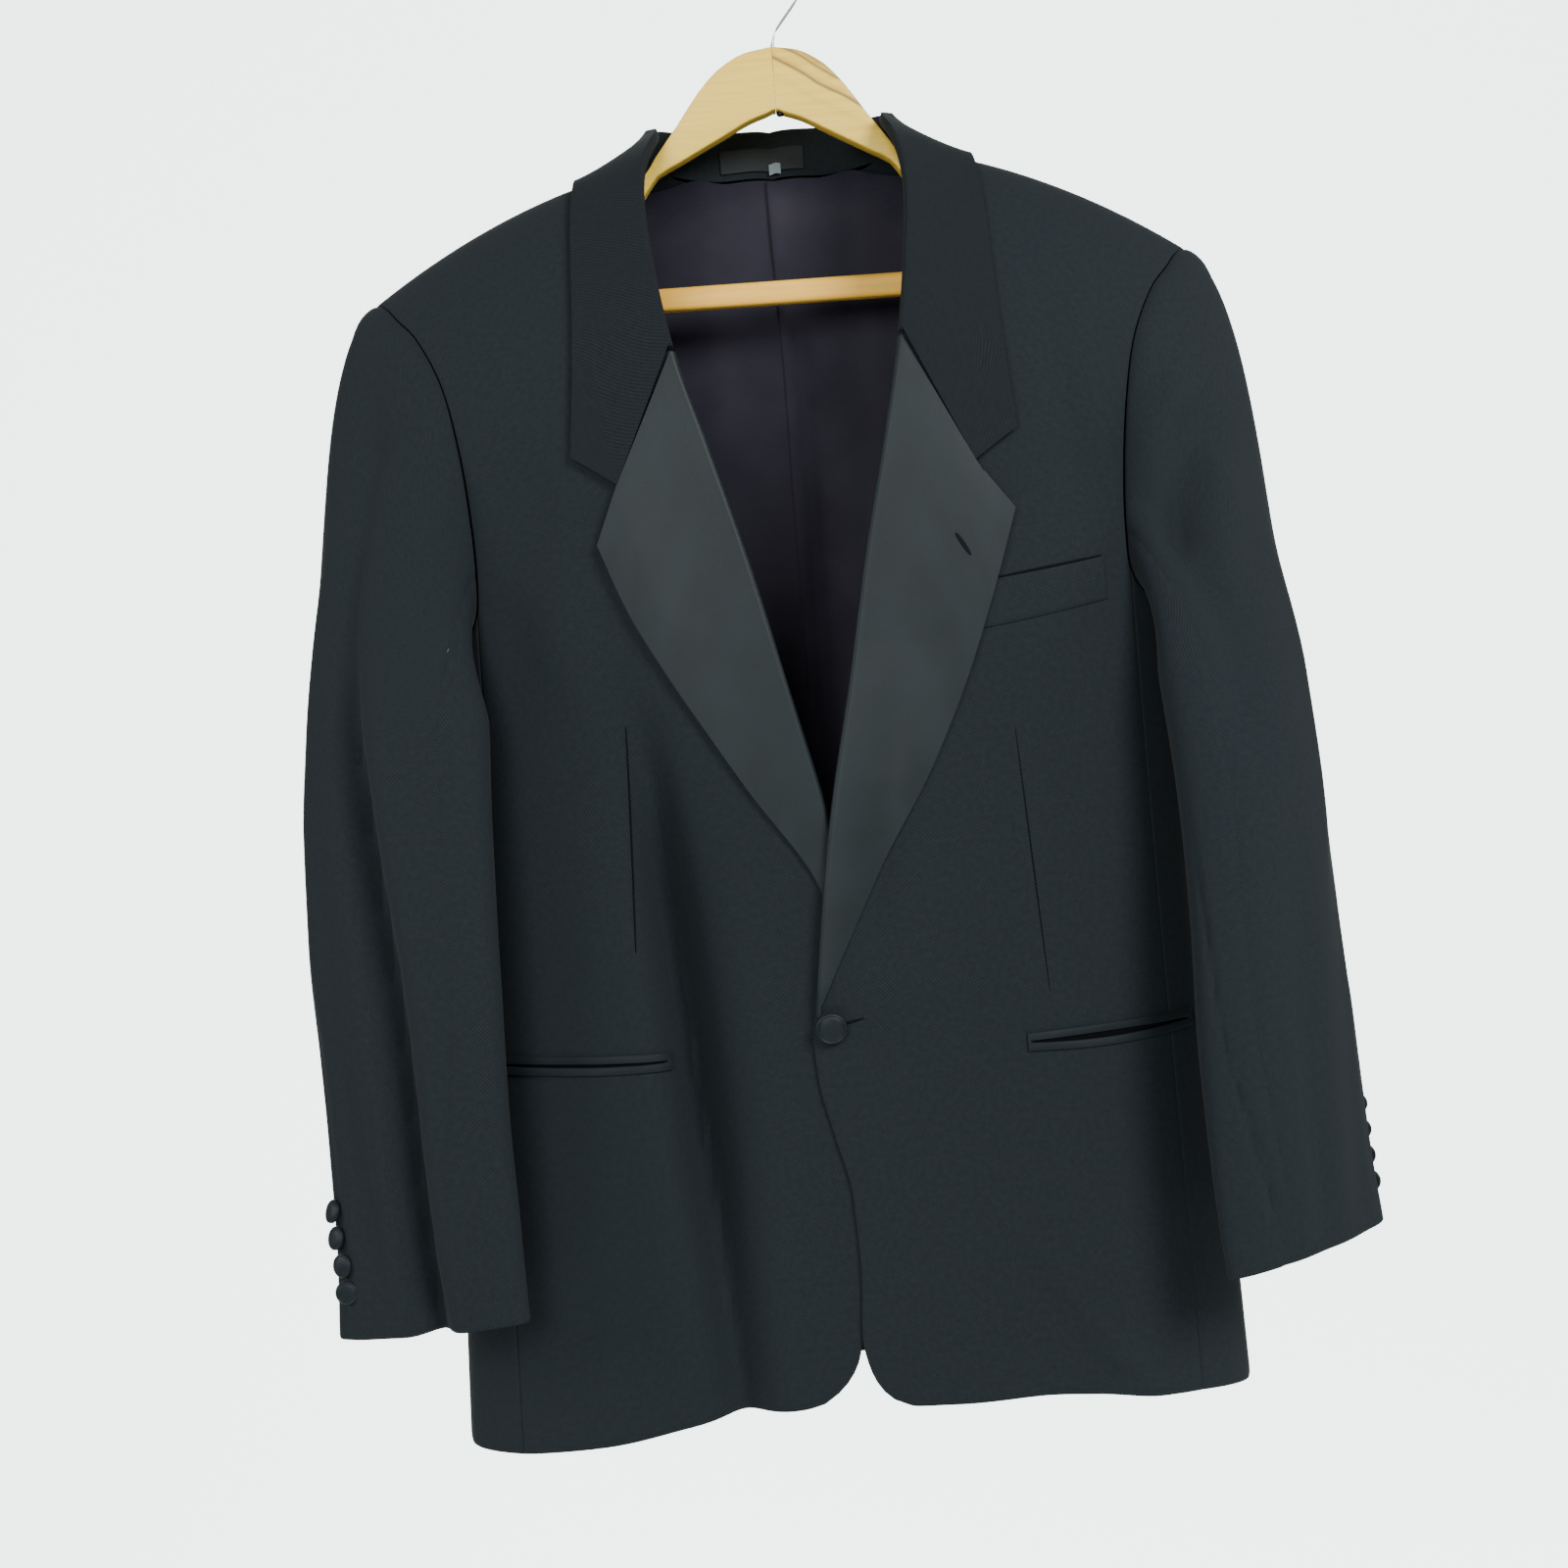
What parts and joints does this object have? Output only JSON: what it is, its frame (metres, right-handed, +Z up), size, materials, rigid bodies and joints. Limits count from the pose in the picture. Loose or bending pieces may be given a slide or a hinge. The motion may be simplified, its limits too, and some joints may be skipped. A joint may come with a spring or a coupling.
{
  "type": "tuxedo jacket on a hanger",
  "caption": "Black dinner jacket with satin notch lapels and a covered button, open at the neck, hanging on a wooden hanger with a trouser bar and a wire hook.",
  "frame": {"origin": "inside top of the hanger's hook, where a rail carries it", "axes": "+Z up, -Y the jacket's front, +X the wearer's left"},
  "size_m": [0.6658, 0.1771, 0.9607],
  "materials": {
    "wool": "fine black worsted wool",
    "collar_wool": "the same wool, fused and pressed",
    "satin": "soft satin",
    "lining": "smooth dark lining satin",
    "label": "plain woven label",
    "wood": "clear satin lacquer",
    "steel": "plain steel wire"
  },
  "bodies": {
    "root": {"front_left": "wool", "front_right": "wool", "back_left": "wool", "back_right": "wool", "side_left": "wool", "side_right": "wool", "top_sleeve_left": "wool", "top_sleeve_right": "wool", "under_sleeve_left": "wool", "under_sleeve_right": "wool", "breast_welt": "wool", "collar": "collar_wool", "lapel_left": "satin", "lapel_right": "satin", "hip_jets_left": "satin", "hip_jets_right": "satin", "front_button": "satin", "cuff_button_left_1": "satin", "cuff_button_left_2": "satin", "cuff_button_left_3": "satin", "cuff_button_left_4": "satin", "cuff_button_right_1": "satin", "cuff_button_right_2": "satin", "cuff_button_right_3": "satin", "cuff_button_right_4": "satin", "back_lining": "lining", "neck_label": "label", "hanger_arms": "wood", "hanger_bar": "wood", "hook": "steel"}
  },
  "joints": []
}
